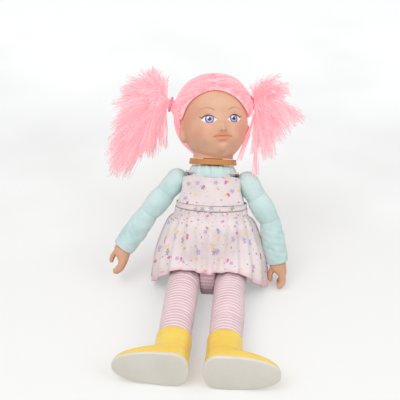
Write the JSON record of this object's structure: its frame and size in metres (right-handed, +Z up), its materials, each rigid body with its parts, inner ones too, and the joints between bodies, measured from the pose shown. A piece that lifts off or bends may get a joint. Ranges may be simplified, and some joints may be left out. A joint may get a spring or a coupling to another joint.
{
  "type": "soft-bodied play doll",
  "caption": "Soft-bodied play doll sitting with its legs forward: hollow vinyl head with tied hair bunches, cloth body and limbs, vinyl hands and boots, gathered pinafore.",
  "frame": {"origin": "on the flat seat face, midway between the hips", "axes": "+Z up, -Y the way the seated doll faces, +X the doll's own left"},
  "size_m": [0.2109, 0.3074, 0.2354],
  "materials": {
    "mint_knit": "matte brushed knit",
    "striped_knit": "matte knit with fine stripes",
    "printed_cotton": "matte printed cotton",
    "skin_vinyl": "matte soft vinyl",
    "collar_vinyl": "satin vinyl",
    "nylon_hair": "soft sheen nylon hair",
    "boot_vinyl": "glossy soft vinyl",
    "sole_vinyl": "satin vinyl",
    "tie_nylon": "satin nylon",
    "hair_band": "matte covered elastic"
  },
  "bodies": {
    "torso": {"torso_upper": "mint_knit", "torso_seat": "striped_knit", "neck_tie": "tie_nylon", "waistband": "printed_cotton", "loop_strip": "tie_nylon", "hook_strip": "tie_nylon", "bib": "printed_cotton", "strap_right": "printed_cotton", "strap_left": "printed_cotton", "skirt": "printed_cotton"},
    "neck": {"neck_collar": "collar_vinyl"},
    "head": {"head_shell": "skin_vinyl", "hair_cap": "nylon_hair", "bunch_right": "nylon_hair", "bunch_left": "nylon_hair", "elastic_right": "hair_band", "elastic_left": "hair_band"},
    "shoulder_cap_right": {"shoulder_right": "mint_knit"},
    "upper_sleeve_right": {"upper_arm_right": "mint_knit"},
    "lower_sleeve_right": {"forearm_right": "mint_knit", "wrist_tie_right": "tie_nylon"},
    "palm_right": {"hand_right": "skin_vinyl"},
    "shoulder_cap_left": {"shoulder_left": "mint_knit"},
    "upper_sleeve_left": {"upper_arm_left": "mint_knit"},
    "lower_sleeve_left": {"forearm_left": "mint_knit", "wrist_tie_left": "tie_nylon"},
    "palm_left": {"hand_left": "skin_vinyl"},
    "shank_right": {"leg_right": "striped_knit", "ankle_tie_right": "tie_nylon"},
    "foot_right": {"boot_right": "boot_vinyl", "sole_right": "sole_vinyl"},
    "shank_left": {"leg_left": "striped_knit", "ankle_tie_left": "tie_nylon"},
    "foot_left": {"boot_left": "boot_vinyl", "sole_left": "sole_vinyl"}
  },
  "joints": [
    {"name": "neck_nod", "type": "hinge", "parent": "torso", "child": "neck", "pos_m": [0, 0.05079, 0.1225], "axis": [1, 0, 0], "range_deg": [-8, 8]},
    {"name": "neck_turn", "type": "hinge", "parent": "neck", "child": "head", "pos_m": [0, 0.06, 0.13912], "axis": [0, 0.4848, 0.8746], "range_deg": [-90, 75]},
    {"name": "shoulder_swing_right", "type": "hinge", "parent": "torso", "child": "shoulder_cap_right", "pos_m": [-0.041, 0.05083, 0.11909], "axis": [1, 0, 0], "range_deg": [-115, 60], "deforming": ["skirt"]},
    {"name": "shoulder_spread_right", "type": "hinge", "parent": "shoulder_cap_right", "child": "upper_sleeve_right", "pos_m": [-0.05331, 0.04392, 0.10493], "axis": [0, 0.8988, -0.4384], "range_deg": [-25, 44], "deforming": ["skirt"]},
    {"name": "elbow_right", "type": "hinge", "parent": "upper_sleeve_right", "child": "lower_sleeve_right", "pos_m": [-0.07301, 0.03287, 0.08226], "axis": [0.829, -0.2451, -0.5026], "range_deg": [-45, 15], "deforming": ["skirt"]},
    {"name": "wrist_turn_right", "type": "hinge", "parent": "lower_sleeve_right", "child": "palm_right", "pos_m": [-0.10153, 0.01434, 0.04426], "axis": [0.5592, 0.3634, 0.7451], "range_deg": [-60, 60]},
    {"name": "shoulder_swing_left", "type": "hinge", "parent": "torso", "child": "shoulder_cap_left", "pos_m": [0.041, 0.05083, 0.11909], "axis": [1, 0, 0], "range_deg": [-115, 60], "deforming": ["skirt"]},
    {"name": "shoulder_spread_left", "type": "hinge", "parent": "shoulder_cap_left", "child": "upper_sleeve_left", "pos_m": [0.0516, 0.04559, 0.10296], "axis": [0, 0.9511, -0.309], "range_deg": [-44, 12], "deforming": ["skirt"]},
    {"name": "elbow_left", "type": "hinge", "parent": "upper_sleeve_left", "child": "lower_sleeve_left", "pos_m": [0.06856, 0.03721, 0.07715], "axis": [0.9744, 0.0695, 0.2139], "range_deg": [-45, 15], "deforming": ["skirt"]},
    {"name": "wrist_turn_left", "type": "hinge", "parent": "lower_sleeve_left", "child": "palm_left", "pos_m": [0.08003, 0.02185, 0.02989], "axis": [-0.225, 0.3011, 0.9267], "range_deg": [-60, 60]},
    {"name": "hip_right", "type": "hinge", "parent": "torso", "child": "shank_right", "pos_m": [-0.027, 0, 0.02175], "axis": [1, 0, 0], "range_deg": [-15, 62], "deforming": ["skirt"]},
    {"name": "boot_turn_right", "type": "hinge", "parent": "shank_right", "child": "foot_right", "pos_m": [-0.027, -0.117, 0.02175], "axis": [0, 1, 0], "range_deg": [0, 90]},
    {"name": "hip_left", "type": "hinge", "parent": "torso", "child": "shank_left", "pos_m": [0.027, 0, 0.02175], "axis": [1, 0, 0], "range_deg": [-15, 62], "deforming": ["skirt"]},
    {"name": "boot_turn_left", "type": "hinge", "parent": "shank_left", "child": "foot_left", "pos_m": [0.027, -0.117, 0.02175], "axis": [0, 1, 0], "range_deg": [-90, 0]}
  ]
}
